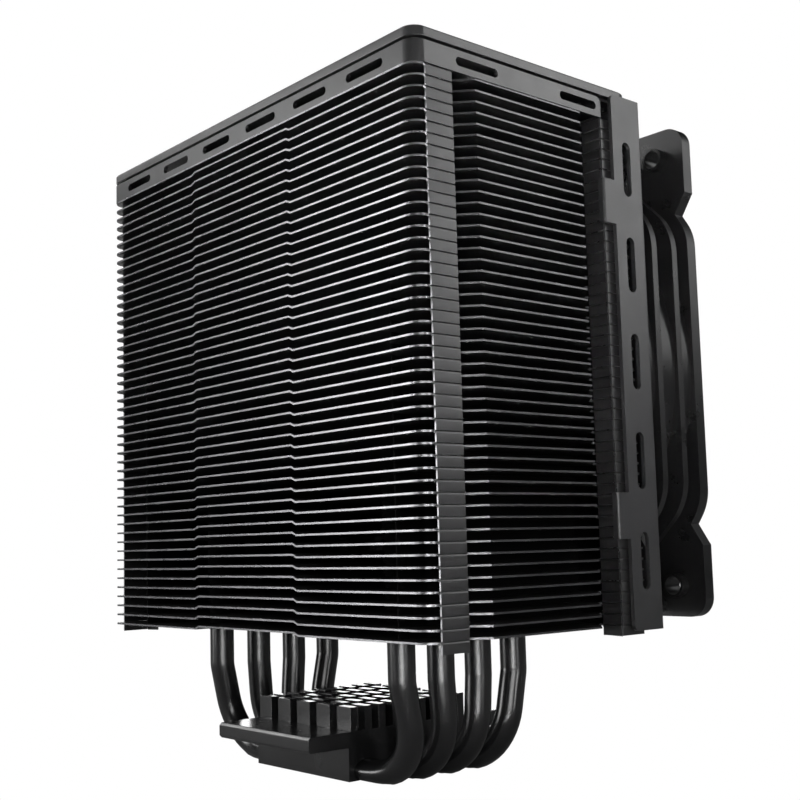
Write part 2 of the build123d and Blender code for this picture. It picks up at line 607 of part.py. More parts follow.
# ---------------------------------------------------------------- fan rails and their screws
RAIL_INNER_X = HALF_X + RAIL_GAP
HOLE_Z = (FAN_Z - HOLE_SPACING / 2, FAN_Z + HOLE_SPACING / 2)
with BuildPart() as rail_right:
    with BuildSketch(Plane.YZ.offset(RAIL_INNER_X)) as plate:
        with Locations(((RAIL_FRONT_Y + FAN_BACK_Y) / 2, (RAIL_LOW_Z + RAIL_HIGH_Z) / 2)):
            Rectangle(RAIL_FRONT_Y - FAN_BACK_Y, RAIL_HIGH_Z - RAIL_LOW_Z)
        fillet(plate.vertices().group_by(Axis.X)[-1], RAIL_EASE)
        with Locations(*[((HOOK_REACH_Y + RAIL_SLOT_Y) / 2, z) for z in HOOK_HEIGHTS]):
            Rectangle(HOOK_REACH_Y - RAIL_SLOT_Y, HOOK_HEIGHT)
        with Locations((RAIL_SLOT_Y, RAIL_SLOT_MIDDLE_Z)):
            with GridLocations(1, RAIL_SLOT_PITCH, 1, RAIL_SLOTS):
                SlotOverall(RAIL_SLOT_LENGTH, RAIL_SLOT_WIDTH, rotation=90, mode=Mode.SUBTRACT)
    extrude(amount=RAIL_SHEET)
    with BuildSketch(Plane.XZ.offset(-HOOK_REACH_Y)):
        hook_middle = RAIL_INNER_X + RAIL_SHEET - HOOK_INWARD / 2
        with Locations(*[(hook_middle, z) for z in HOOK_HEIGHTS]):
            Rectangle(HOOK_INWARD, HOOK_HEIGHT)
    extrude(amount=HOOK_SHEET)
    with BuildSketch(Plane.XZ.offset(-FAN_BACK_Y - RAIL_SHEET)) as lugs:
        with Locations(*[(RAIL_INNER_X + RAIL_SHEET - RAIL_LUG_REACH / 2, z) for z in HOLE_Z]):
            Rectangle(RAIL_LUG_REACH, RAIL_LUG_HEIGHT)
        fillet(lugs.vertices().group_by(Axis.X)[0], 3 * RAIL_EASE)
    extrude(amount=RAIL_SHEET)
    folds = rail_right.edges().filter_by(Axis.Z).group_by(Axis.X)[-1]
    fillet(folds.group_by(Axis.Y)[0] + folds.group_by(Axis.Y)[-1], FOLD_R)
    for z in HOLE_Z:
        seat = Plane(origin=(HOLE_SPACING / 2, FAN_BACK_Y + RAIL_SHEET, z), z_dir=(0, 1, 0))
        with Locations(seat):
            CounterSinkHole(HOLE_R, SCREW_HEAD_R + PIPE_FIT, depth=2 * RAIL_SHEET)
save(rail_right, "rail_right")

with BuildPart() as rail_left:
    add(mirror(rail_right.part, about=Plane.YZ, mode=Mode.PRIVATE))
save(rail_left, "rail_left")

with BuildPart() as rail_screws:
    for x in (-HOLE_SPACING / 2, HOLE_SPACING / 2):
        for z in HOLE_Z:
            head = Plane(origin=(x, FAN_BACK_Y + RAIL_SHEET, z), x_dir=(1, 0, 0), z_dir=(0, -1, 0))
            with BuildSketch(head):
                Circle(SCREW_HEAD_R)
            extrude(amount=SCREW_HEAD, taper=45)
            with BuildSketch(head):
                Circle(SCREW_R)
            extrude(amount=SCREW_LENGTH)
            with BuildSketch(head):
                Rectangle(SCREW_HEAD_R * 1.1, DRIVE_WIDTH)
                Rectangle(DRIVE_WIDTH, SCREW_HEAD_R * 1.1)
            extrude(amount=DRIVE_DEPTH, mode=Mode.SUBTRACT)
save(rail_screws, "rail_screws")
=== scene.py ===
# %% Load the frame
from math import cos, pi, radians, sin

import bmesh
import bpy
from mathutils import Matrix, Vector


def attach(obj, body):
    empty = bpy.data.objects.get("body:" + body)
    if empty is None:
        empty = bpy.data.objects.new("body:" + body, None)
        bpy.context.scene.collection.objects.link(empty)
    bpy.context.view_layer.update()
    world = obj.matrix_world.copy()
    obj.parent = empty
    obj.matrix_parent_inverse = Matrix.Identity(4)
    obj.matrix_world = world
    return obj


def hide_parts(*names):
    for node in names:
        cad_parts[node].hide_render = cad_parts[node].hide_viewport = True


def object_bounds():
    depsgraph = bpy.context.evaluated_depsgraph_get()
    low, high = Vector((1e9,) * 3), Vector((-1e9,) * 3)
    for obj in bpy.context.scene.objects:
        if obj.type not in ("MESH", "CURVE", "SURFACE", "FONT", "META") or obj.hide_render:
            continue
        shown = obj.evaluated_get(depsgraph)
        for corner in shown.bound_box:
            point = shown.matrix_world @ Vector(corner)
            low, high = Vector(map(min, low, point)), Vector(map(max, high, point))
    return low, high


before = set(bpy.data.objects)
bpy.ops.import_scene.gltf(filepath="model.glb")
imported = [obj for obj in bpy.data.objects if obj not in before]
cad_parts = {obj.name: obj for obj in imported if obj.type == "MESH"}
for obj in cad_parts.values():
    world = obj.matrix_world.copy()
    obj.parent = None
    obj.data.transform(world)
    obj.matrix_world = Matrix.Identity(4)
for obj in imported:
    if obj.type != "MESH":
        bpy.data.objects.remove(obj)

MM = 0.001
cad_low, cad_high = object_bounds()
print("The packed cooler measures", [round(v / MM, 1) for v in cad_high - cad_low], "mm")

# %% [markdown]
# # A black tower cooler for a processor
# The cooler is a stack of thin folded fins on four U-shaped heat pipes. The pipes run through a small base
# block that presses on the processor. A square fan hangs on the back of the fins from two slotted rails.
# The design model gives every part its place and its size, in metres. Here each part that shows gets the
# edges, folds and finishes that make it look like a real cooler.

# %% [markdown]
# ## The camera
# The cooler is seen from a little below the middle of its fins, so the eye looks up at the cover and down on
# the base. A camera is three things: where it stands, which way it looks, and its lens. It is turned first
# about its own line of sight (the roll), then tipped up, then turned to its heading.

# %% Camera
CAMERA_PLACE = Vector((-0.2329, 0.1854, 0.0515))
HEADING, TIP_UP, ROLL = radians(229.59), radians(6.19), radians(-1.51)
bpy.ops.object.camera_add(location=CAMERA_PLACE)
camera = bpy.context.object
heading = Matrix.Rotation(HEADING, 3, "Z")
tip = Matrix.Rotation(pi / 2 + TIP_UP, 3, "X")
roll = Matrix.Rotation(ROLL, 3, "Z")
camera.rotation_euler = (heading @ tip @ roll).to_euler()
camera.data.lens = 54.44
camera.data.shift_x = 0.0075
camera.data.shift_y = 0.0171
camera.data.clip_start = 0.005
bpy.context.scene.camera = camera
print("Camera", round((CAMERA_PLACE - (cad_low + cad_high) / 2).length, 3), "m from the middle of the cooler")

# %% [markdown]
# ## The room and the lights
# A black object shows its shape only by what it reflects. So the room is dark to reflections, and a few large
# soft lights stand where their reflections draw the edges. The eye itself sees a white room, which the world
# gives through the Light Path node: white to the camera, almost black to everything else.
# The large light at the front right draws the front edges of the fins, the one at the left back draws the
# side of the cover and the rail, and the thin strips draw the rounded corners and the pipes. A small light
# washes the floor in front of the base, because the shiny pipes mirror that floor.


# %% World
def link(tree, source, target):
    """Join two sockets of a node tree."""
    tree.links.new(source, target)


world = bpy.data.worlds.new("white_room")
bpy.context.scene.world = world
world.use_nodes = True
sky = world.node_tree
sky.nodes.clear()
seen = sky.nodes.new("ShaderNodeBackground")
seen.inputs["Color"].default_value = (1, 1, 1, 1)
felt = sky.nodes.new("ShaderNodeBackground")
felt.inputs["Color"].default_value = (0.93, 0.96, 1, 1)
felt.inputs["Strength"].default_value = 0.02
sky_path = sky.nodes.new("ShaderNodeLightPath")
choose = sky.nodes.new("ShaderNodeMixShader")
sky_output = sky.nodes.new("ShaderNodeOutputWorld")
link(sky, sky_path.outputs["Is Camera Ray"], choose.inputs["Fac"])
link(sky, felt.outputs[0], choose.inputs[1])
link(sky, seen.outputs[0], choose.inputs[2])
link(sky, choose.outputs[0], sky_output.inputs["Surface"])
bpy.context.scene.view_settings.view_transform = "Standard"
print("World:", len(sky.nodes), "nodes")


# %% Lights
def soft_light(name, place, aim, width, height, power):
    """An area light of a given width, height and power that looks at a point."""
    bpy.ops.object.light_add(type="AREA", location=place)
    light = bpy.context.object
    light.name = name
    light.data.shape = "RECTANGLE"
    light.data.size = width
    light.data.size_y = height
    light.data.energy = power
    light.visible_camera = False
    light.rotation_euler = (Vector(aim) - Vector(place)).to_track_quat("-Z", "Y").to_euler()
    return light


middle = (cad_low + cad_high) / 2
soft_light("front_right_strip", (0.36, 0.44, 0.17), middle, 0.20, 0.38, 1.9)
soft_light("side_strip", (-0.42, -0.40, 0.36), middle, 0.22, 0.36, 1.3)
soft_light("side_front_strip", (-0.62, 0.04, 0.14), (0, 0, 0.10), 0.05, 0.28, 0.9)
soft_light("front_strip", (0.12, 0.62, 0.16), (0, 0, 0.10), 0.05, 0.30, 0.9)
soft_light("near_strip", (-0.46, 0.36, 0.10), (0, 0, 0.04), 0.30, 0.12, 0.9)
soft_light("top_softbox", (0.10, 0.10, 0.75), middle, 0.50, 0.50, 0.9)
soft_light("low_back_strip", (0.62, -0.50, 0.12), (0, 0, 0.02), 0.50, 0.08, 0.9)
soft_light("high_far_box", (0.62, 0.13, 0.44), (0, 0, 0.02), 0.25, 0.12, 0.8)
wash = soft_light("floor_wash", (-0.20, 0.15, 0.16), (-0.20, 0.15, 0.0), 0.06, 0.06, 4.0)
wash.data.spread = radians(60)

# %% [markdown]
# ## Shared surface effects
# Several finishes need the same small effects: the fine grain of a coat, the slow unevenness of a sprayed or
# moulded surface, and parallel lines. Each effect is a node group, so it is written once. A group gives only
# numbers, colours or normals. The shader itself stays in the material.


# %% Node groups
def new_group(name, inputs, outputs):
    """An empty shader node group with number inputs, and outputs given as (name, socket type)."""
    group = bpy.data.node_groups.new(name, "ShaderNodeTree")
    for label, value in inputs:
        socket = group.interface.new_socket(name=label, in_out="INPUT", socket_type="NodeSocketFloat")
        socket.default_value = value
    for label, kind in outputs:
        group.interface.new_socket(name=label, in_out="OUTPUT", socket_type=kind)
    return group, group.nodes.new("NodeGroupInput"), group.nodes.new("NodeGroupOutput")


grain, grain_in, grain_out = new_group(
    "fine_grain", [("Scale", 4000.0), ("Strength", 0.1)], [("Normal", "NodeSocketVector")])
place = grain.nodes.new("ShaderNodeTexCoord")
noise = grain.nodes.new("ShaderNodeTexNoise")
noise.inputs["Detail"].default_value = 3.0
bump = grain.nodes.new("ShaderNodeBump")
bump.inputs["Distance"].default_value = 0.0001
link(grain, place.outputs["Object"], noise.inputs["Vector"])
link(grain, grain_in.outputs["Scale"], noise.inputs["Scale"])
link(grain, noise.outputs["Fac"], bump.inputs["Height"])
link(grain, grain_in.outputs["Strength"], bump.inputs["Strength"])
link(grain, bump.outputs["Normal"], grain_out.inputs["Normal"])

uneven, uneven_in, uneven_out = new_group(
    "slow_unevenness", [("Scale", 90.0), ("Low", 0.3), ("High", 0.4)], [("Value", "NodeSocketFloat")])
place = uneven.nodes.new("ShaderNodeTexCoord")
noise = uneven.nodes.new("ShaderNodeTexNoise")
noise.inputs["Detail"].default_value = 4.0
noise.inputs["Roughness"].default_value = 0.6
spread = uneven.nodes.new("ShaderNodeMapRange")
spread.inputs["From Min"].default_value = 0.3
spread.inputs["From Max"].default_value = 0.7
link(uneven, place.outputs["Object"], noise.inputs["Vector"])
link(uneven, uneven_in.outputs["Scale"], noise.inputs["Scale"])
link(uneven, noise.outputs["Fac"], spread.inputs["Value"])
link(uneven, uneven_in.outputs["Low"], spread.inputs["To Min"])
link(uneven, uneven_in.outputs["High"], spread.inputs["To Max"])
link(uneven, spread.outputs["Result"], uneven_out.inputs["Value"])

lines, lines_in, lines_out = new_group(
    "parallel_lines", [("X", 1.0), ("Y", 1.0), ("Z", 1.0), ("Strength", 0.2)],
    [("Normal", "NodeSocketVector")])
place = lines.nodes.new("ShaderNodeTexCoord")
stretch = lines.nodes.new("ShaderNodeCombineXYZ")
scaled = lines.nodes.new("ShaderNodeVectorMath")
scaled.operation = "MULTIPLY"
noise = lines.nodes.new("ShaderNodeTexNoise")
noise.inputs["Scale"].default_value = 1.0
noise.inputs["Detail"].default_value = 2.0
bump = lines.nodes.new("ShaderNodeBump")
bump.inputs["Distance"].default_value = 0.0001
for axis in "XYZ":
    link(lines, lines_in.outputs[axis], stretch.inputs[axis])
link(lines, place.outputs["Object"], scaled.inputs[0])
link(lines, stretch.outputs["Vector"], scaled.inputs[1])
link(lines, scaled.outputs["Vector"], noise.inputs["Vector"])
link(lines, noise.outputs["Fac"], bump.inputs["Height"])
link(lines, lines_in.outputs["Strength"], bump.inputs["Strength"])
link(lines, bump.outputs["Normal"], lines_out.inputs["Normal"])
print("Groups:", [g.name for g in bpy.data.node_groups])

# %% [markdown]
# ## Finishes
# Each finish starts from one shader. The two colours are mixed by the slow unevenness, and the same effect
# moves the roughness a little, so no surface is perfectly even. Then each finish adds its own detail.


# %% Finish helpers
def use_group(tree, group, **values):
    """A copy of a shared effect inside a material, with its numbers set."""
    node = tree.nodes.new("ShaderNodeGroup")
    node.node_tree = group
    for label, value in values.items():
        node.inputs[label].default_value = value
    return node


def finish(name, dark, light, rough, metal=0.0, patch=90.0):
    """A material whose colour and roughness vary slowly between two values. Gives it, its tree and shader."""
    material = bpy.data.materials.new(name)
    material.use_nodes = True
    tree = material.node_tree
    shader = tree.nodes["Principled BSDF"]
    shader.inputs["Metallic"].default_value = metal
    patches = use_group(tree, uneven, Scale=patch, Low=0.0, High=1.0)
    colour = tree.nodes.new("ShaderNodeMix")
    colour.data_type = "RGBA"
    colour.inputs["A"].default_value = (*dark, 1)
    colour.inputs["B"].default_value = (*light, 1)
    link(tree, patches.outputs["Value"], colour.inputs["Factor"])
    link(tree, colour.outputs["Result"], shader.inputs["Base Color"])
    sheen = use_group(tree, uneven, Scale=1.7 * patch, Low=rough[0], High=rough[1])
    link(tree, sheen.outputs["Value"], shader.inputs["Roughness"])
    return material, tree, shader


def grained(name, dark, light, rough, scale, strength, metal=0.0, patch=90.0):
    """A finish with fine grain, as on a sprayed coat or textured plastic."""
    material, tree, shader = finish(name, dark, light, rough, metal, patch)
    fine = use_group(tree, grain, Scale=scale, Strength=strength)
    link(tree, fine.outputs["Normal"], shader.inputs["Normal"])
    return material


def lined(name, dark, light, rough, along, strength, metal=1.0, patch=90.0):
    """A finish with fine parallel lines, as left by rolling, turning or winding."""
    material, tree, shader = finish(name, dark, light, rough, metal, patch)
    drawn = use_group(tree, lines, X=along[0], Y=along[1], Z=along[2], Strength=strength)
    link(tree, drawn.outputs["Normal"], shader.inputs["Normal"])
    return material


def dull(material, level):
    """Make a finish mirror less than usual."""
    material.node_tree.nodes["Principled BSDF"].inputs["Specular IOR Level"].default_value = level


# %% [markdown]
# Every piece that shows is black, but no two blacks are alike. Colour hardly tells them apart, so the
# roughness does the work: the pipes are the glossiest, then the base and the cover, the rails are rougher,
# and the plastic of the frame mirrors less. The cut edges of the fins get a lighter grey than their faces,
# which paints their highlight. Two finishes are painted shade and not something known about the cooler: the
# side edges get a darker grey than the front ones, and the pipes, collars and flaps inside the stack are
# almost matt and near black, so that the gaps between the fins stay black. Under other lights both choices
# still show.


# %% Black finishes
def grey(value):
    """A neutral colour, very slightly cool."""
    return (value, value, value * 1.04)


fin_face = lined("fin_face", grey(0.010), grey(0.014), (0.34, 0.42), (60, 4000, 60), 0.10, metal=0.0)
# Painted highlight: the fins' cut edges get a lighter metallic grey than their black coat.
fin_edge_painted_highlight = lined("fin_edge_painted_highlight", grey(0.15), grey(0.20), (0.24, 0.32), (300, 300, 9000), 0.2, metal=0.8)
# Painted shade: the side edges get a darker copy of the edge grey than the front ones.
fin_side_painted_shade = lined("fin_side_painted_shade", grey(0.06), grey(0.09), (0.30, 0.38), (300, 300, 9000), 0.2, metal=0.8)
# Painted shade: a matt near-black for the pipes, collars and flaps inside the stack, so the gaps between the
# fins stay black.
fin_painted_shade = grained("fin_painted_shade", grey(0.001), grey(0.002), (0.85, 0.95), 4000, 0.1)
dull(fin_painted_shade, 0.1)
cover_coat = grained("cover_coat", grey(0.010), grey(0.014), (0.30, 0.36), 6000, 0.06)
base_coat = grained("base_coat", grey(0.008), grey(0.012), (0.22, 0.28), 7000, 0.05)
rail_coat = grained("rail_coat", grey(0.016), grey(0.022), (0.36, 0.42), 5200, 0.10)
frame_plastic = grained("frame_plastic", grey(0.006), grey(0.010), (0.26, 0.34), 3800, 0.08)
dull(frame_plastic, 0.3)
blade_plastic = grained("blade_plastic", grey(0.012), grey(0.017), (0.30, 0.38), 5000, 0.06)
pipe_coat = grained("pipe_coat", grey(0.007), grey(0.010), (0.20, 0.25), 1500, 0.02)
label_film = grained("label_film", grey(0.020), grey(0.024), (0.32, 0.38), 9000, 0.03)
print("Black finishes:", [m.name for m in bpy.data.materials])

# %% [markdown]
# The pieces inside the fan and the pipes are hardly seen, but they are real metals and plastics too: a drawn
# steel cup, a ground shaft, oily bronze, copper windings and a green board.

# %% Inner finishes
steel = lined("plated_steel", (0.50, 0.50, 0.52), (0.60, 0.60, 0.62), (0.24, 0.34), (2500, 60, 2500), 0.10)
drawn_steel = lined(
    "drawn_steel", (0.40, 0.40, 0.42), (0.50, 0.50, 0.52), (0.28, 0.38), (60, 5000, 60), 0.15)
ground_steel = lined(
    "ground_steel", (0.68, 0.68, 0.70), (0.75, 0.75, 0.77), (0.08, 0.14), (60, 9000, 60), 0.04)
stamped = lined("stacked_sheets", (0.26, 0.26, 0.28), (0.36, 0.36, 0.38), (0.38, 0.5), (100, 7000, 100), 0.9)
bronze = grained("oily_bronze", (0.38, 0.25, 0.11), (0.52, 0.36, 0.17), (0.30, 0.42), 9000, 0.25, metal=1.0)
ferrite = grained("bonded_magnet", (0.035, 0.03, 0.028), (0.055, 0.05, 0.045), (0.6, 0.72), 8000, 0.3)
moulded = grained("moulded_insulator", (0.62, 0.58, 0.48), (0.70, 0.66, 0.56), (0.42, 0.5), 5000, 0.08)
copper = lined(
    "enamelled_wire", (0.50, 0.19, 0.07), (0.64, 0.27, 0.11), (0.22, 0.3), (5200, 5200, 5200), 0.8)
powder = grained("sintered_powder", (0.42, 0.17, 0.10), (0.60, 0.29, 0.18), (0.6, 0.8), 7000, 0.9, metal=0.6)
mask_green = grained("board_mask", (0.010, 0.10, 0.035), (0.016, 0.15, 0.055), (0.25, 0.32), 3000, 0.05)
print("All finishes:", len(bpy.data.materials))

# %% [markdown]
# The motor, the bearing and the label are turned, pressed or wound pieces that hide behind the hub. Their
# design shapes are true enough, so they are carried over as they are and only get their finish.

# %% Pieces of the motor
MOTOR_FINISHES = {
    "rotor_cup": drawn_steel, "rotor_magnet": ferrite, "rotor_shaft": ground_steel,
    "shaft_retainer": moulded, "bearing_sleeve": bronze, "thrust_plate": moulded, "stator_core": stamped,
    "stator_bobbin": moulded, "stator_coils": copper, "fan_board": mask_green, "hub_label": label_film}
for node_name, material in MOTOR_FINISHES.items():
    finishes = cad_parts[node_name].data.materials
    finishes.clear()
    finishes.append(material)
print("Carried over from the design model:", len(MOTOR_FINISHES), "pieces")

# %% [markdown]
# ## Modelling helpers
# Each new piece is modelled the way a person would do it in edit mode: pick some points, edges or faces by
# where they lie, then move, extrude, spin or bevel them. The piece's own origin stays at the frame's origin.


# %% Helpers
def alone(piece):
    """Make one object the only selected one, and the active one."""
    bpy.ops.object.select_all(action="DESELECT")
    piece.select_set(True)
    bpy.context.view_layer.objects.active = piece


def pick(piece, kind, test):
    """In edit mode, select the VERT, EDGE or FACE elements whose middle passes a test."""
    bpy.ops.mesh.select_mode(type=kind)
    bpy.ops.mesh.select_all(action="DESELECT")
    mesh = bmesh.from_edit_mesh(piece.data)
    elements = {"VERT": mesh.verts, "EDGE": mesh.edges, "FACE": mesh.faces}[kind]
    for element in elements:
        points = [element.co] if kind == "VERT" else [corner.co for corner in element.verts]
        if test(sum(points, Vector()) / len(points)):
            element.select = True
    mesh.select_flush_mode()
    bmesh.update_edit_mesh(piece.data)


def paint(piece, index, test):
    """In edit mode, give one of the piece's materials to the faces whose middle passes a test."""
    pick(piece, "FACE", test)
    piece.active_material_index = index
    bpy.ops.object.material_slot_assign()


def bevel_and_apply(piece, width, segments, angle):
    """Round the sharp edges of a piece a little, and bake that into its mesh."""
    alone(piece)
    rounding = piece.modifiers.new("rounding", "BEVEL")
    rounding.width = width
    rounding.segments = segments
    rounding.limit_method = "ANGLE"
    rounding.angle_limit = radians(angle)
    rounding.miter_outer = "MITER_ARC"
    bpy.ops.object.modifier_apply(modifier=rounding.name)


def smooth_flats(piece, angle):
    """Shade curved faces smooth, and keep large flat faces flat where a rounded edge meets them."""
    bpy.ops.object.shade_smooth_by_angle(angle=radians(angle))
    weighted = piece.modifiers.new("flat_faces", "WEIGHTED_NORMAL")
    weighted.keep_sharp = True
    weighted.weight = 100
    bpy.ops.object.modifier_apply(modifier=weighted.name)


def dress(piece, body, nodes, materials):
    """Give a finished piece its materials, its body and the design nodes it stands for."""
    piece.data.materials.clear()
    for material in materials:
        piece.data.materials.append(material)
    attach(piece, body)
    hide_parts(*nodes)
    print(piece.name, len(piece.data.polygons), "faces")


# %% [markdown]
# ## The fins
# One fin is a rectangle of thin sheet. It is cut along the lines where it folds or steps, the four side
# notches are taken out, the middle third is raised, and the corners are rounded. Then small tabs are folded
# down at the sides, and a short collar is drawn round each pipe. Last the sheet gets its thickness, the cut
# edges get a lighter grey that paints their highlight, the side edges a darker grey and the collars a matt
# near-black, both painted shade, and an array repeats the fin up the stack. Thickness comes before the
# array, because then it is worked out for one fin and not for 49. Only the lowest and the highest fin differ,
# so they are made by the same steps with other settings, and all are joined into one piece. The two flaps
# that hang inside the stack are a guess at what closes the view through it; their matt near-black paints
# the shade inside the stack. The side tabs are made 0.04 mm longer than in the design model, so that no
# light shows as a thin line below them.

# %% Fin sizes
HALF_X, HALF_Y, SHEET, FOLD = 62.5 * MM, 33.3 * MM, 0.4 * MM, 0.4 * MM
PITCH, FIRST_Z, FINS = 2.358 * MM, 32.9 * MM, 49
STEP_INNER, STEP_OUTER, STEP = 19.4 * MM, 20.8 * MM, 0.57 * MM
NOTCH_FLOOR, NOTCH_LOW, NOTCH_HIGH, SLOPE_SUM = 56.7 * MM, 16.0 * MM, 22.9 * MM, 78.7 * MM
TAB_LOW, TAB_HIGH, TAB_DROP, CORNER = 22.9 * MM, 30.0 * MM, 2.19 * MM, 3.3 * MM
SHOULDER_LOW, SHOULDER_HIGH = 57.3 * MM, 62.28 * MM
# The flaps inside the stack are near-black sheets that paint the shade between the fins.
SHADE_FLAP_X, SHADE_FLAP_FRONT, SHADE_FLAP_BACK = 50.0 * MM, 30.0 * MM, -33.0 * MM
LEG_X, LEG_PITCH, PIPE_R = 35.2 * MM, 11.2 * MM, 3.0 * MM
COLLAR_GAP, COLLAR_DEPTH, COLLAR_DROP = 0.16 * MM, 1.2 * MM, 0.8 * MM
NEAR = 0.01 * MM
PIPES = (-1.5, -0.5, 0.5, 1.5)
# Slot 1 holds the painted highlight of the cut edges, slot 2 the painted shade inside the stack, slot 3 the
# painted shade of the side edges.
EDGE, INNER_SHADE, SIDE_SHADE = 1, 2, 3  # places in the fin's list of materials, after its face
print("The stack is", round((FINS - 1) * PITCH / MM, 1), "mm high from the first fin to the last")


# %% Fin
def cut_sheet(name, height, step):
    """A flat fin at a height, cut to its outline and with its middle third raised."""
    bpy.ops.mesh.primitive_plane_add(size=1)
    sheet = bpy.context.object
    sheet.name = name
    bpy.ops.object.mode_set(mode="EDIT")
    bpy.ops.transform.resize(value=(2 * HALF_X, 2 * HALF_Y, 1))
    bpy.ops.mesh.bevel(offset=CORNER, segments=6, affect="VERTICES", clamp_overlap=False)
    cuts = []
    for side in (-1, 1):
        for x in (STEP_INNER, STEP_OUTER, NOTCH_FLOOR, SHOULDER_LOW, SHOULDER_HIGH):
            cuts.append(((side * x, 0, 0), (1, 0, 0)))
        for y in (NOTCH_LOW, NOTCH_HIGH, TAB_HIGH):
            cuts.append(((0, side * y, 0), (0, 1, 0)))
        cuts.append(((SLOPE_SUM, 0, 0), (1, side, 0)))
        cuts.append(((-SLOPE_SUM, 0, 0), (-1, side, 0)))
    for through, normal in cuts:
        bpy.ops.mesh.select_all(action="SELECT")
        bpy.ops.mesh.bisect(plane_co=through, plane_no=normal)
    pick(sheet, "FACE", lambda p: abs(p.x) > NOTCH_FLOOR and abs(p.y) < NOTCH_HIGH
         and abs(p.x) + abs(p.y) > SLOPE_SUM)
    bpy.ops.mesh.delete(type="FACE")
    bpy.ops.mesh.select_all(action="SELECT")
    bpy.ops.mesh.remove_doubles(threshold=NEAR)
    pick(sheet, "VERT", lambda p: abs(p.x) < STEP_INNER + NEAR)
    bpy.ops.transform.translate(value=(0, 0, step))
    bpy.ops.mesh.select_all(action="SELECT")
    bpy.ops.transform.translate(value=(0, 0, height))
    return sheet


def fold_tabs(sheet, height):
    """Fold the side tabs and the shoulder tabs down, and round their folds."""
    def side_fold(p):
        return abs(p.x) > HALF_X - NEAR and TAB_LOW < abs(p.y) < TAB_HIGH and abs(p.z - height) < NEAR

    def shoulder_fold(p):
        return abs(abs(p.y) - TAB_LOW) < NEAR and SHOULDER_LOW < abs(p.x) < SHOULDER_HIGH \
            and abs(p.z - height) < NEAR

    for fold in (side_fold, shoulder_fold):
        pick(sheet, "EDGE", fold)
        bpy.ops.mesh.extrude_region_move(TRANSFORM_OT_translate={"value": (0, 0, -TAB_DROP)})
        pick(sheet, "EDGE", fold)
        bpy.ops.mesh.bevel(offset=FOLD, segments=3, affect="EDGES", clamp_overlap=False)


def draw_collars(height):
    """Open rings below the sheet, one round each pipe."""
    for side in (-1, 1):
        for index in PIPES:
            bpy.ops.mesh.primitive_cylinder_add(
                vertices=20, radius=PIPE_R + COLLAR_GAP, depth=COLLAR_DEPTH, end_fill_type="NOTHING",
                location=(side * LEG_X, index * LEG_PITCH, height - COLLAR_DROP))


def hang_shade_flaps(height):
    """Two straight near-black flaps below the sheet, along the air, that close the view through the stack:
    painted shade inside it.
    """
    for side in (-1, 1):
        spot = (side * SHADE_FLAP_X, (SHADE_FLAP_FRONT + SHADE_FLAP_BACK) / 2, height - (TAB_DROP + SHEET / 2) / 2)
        bpy.ops.mesh.primitive_cube_add(size=1, location=spot)
        size = (SHEET, SHADE_FLAP_FRONT - SHADE_FLAP_BACK, TAB_DROP - SHEET / 2)
        bpy.ops.transform.resize(value=size, center_override=spot)
        bpy.context.object.active_material_index = INNER_SHADE
        bpy.ops.object.material_slot_assign()


def on_shaded_side_edge(p):
    """Tell whether a point lies on the cut edges of the sides, between the tabs, which get the darker grey of
    painted shade.
    """
    on_slope = abs(abs(p.x) + abs(p.y) - SLOPE_SUM) < NEAR
    return abs(p.y) < TAB_LOW and (abs(p.x) > HALF_X - NEAR or on_slope)


def fin(name, height, step, shade_flapped, count):
    """A whole fin, repeated upwards."""
    sheet = cut_sheet(name, height, step)
    fold_tabs(sheet, height)
    draw_collars(height)
    bpy.ops.object.mode_set(mode="OBJECT")
    for material in (fin_face, fin_edge_painted_highlight, fin_painted_shade, fin_side_painted_shade):
        sheet.data.materials.append(material)
    alone(sheet)
    thick = sheet.modifiers.new("thickness", "SOLIDIFY")
    thick.thickness = SHEET
    thick.offset = 0
    # The rim, all the cut edges, gets the lighter grey that paints their highlight.
    thick.material_offset_rim = EDGE
    bpy.ops.object.modifier_apply(modifier=thick.name)
    bpy.ops.object.mode_set(mode="EDIT")
    # Painted shade: the cut edges of the sides get the darker edge grey.
    paint(sheet, SIDE_SHADE, on_shaded_side_edge)
    # Painted shade: the collars below the sheet get the matt near-black.
    paint(sheet, INNER_SHADE, lambda p: p.z < height - SHEET and abs(p.x) < NOTCH_FLOOR)
    if shade_flapped:
        hang_shade_flaps(height)
    bpy.ops.object.mode_set(mode="OBJECT")
    stack = sheet.modifiers.new("stack", "ARRAY")
    stack.use_relative_offset = False
    stack.use_constant_offset = True
    stack.constant_offset_displace = (0, 0, PITCH)
    stack.count = count
    bpy.ops.object.modifier_apply(modifier=stack.name)
    return sheet


# %% Fin stack
lowest = fin("fins", FIRST_Z, STEP, False, 1)
between = fin("middle_fins", FIRST_Z + PITCH, STEP, True, FINS - 2)
highest = fin("highest_fin", FIRST_Z + (FINS - 1) * PITCH, 0.0, True, 1)
alone(lowest)
between.select_set(True)
highest.select_set(True)
bpy.ops.object.join()
fins = bpy.context.object
bpy.ops.object.shade_smooth_by_angle(angle=radians(40))
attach(fins, "tower")
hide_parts("fin_stack")
print("Fins:", len(fins.data.polygons), "faces, materials", [m.name for m in fins.data.materials])

# %% [markdown]
# ## The heat pipes
# Half of a pipe starts as a circle at the top of the fins. It is extruded straight down, spun through the
# small kink that leans it inwards, extruded again, spun through the elbow, and extruded level to the middle
# of the base. On the way it is pressed to an oval and its underside is milled flat. A mirror makes the rest.
# A bent curve would be quicker, but it can't be pressed and milled ring by ring. The sintered lining inside
# is the same pipe made thinner, and the stretch inside the fins gets their matt near-black, painted shade.

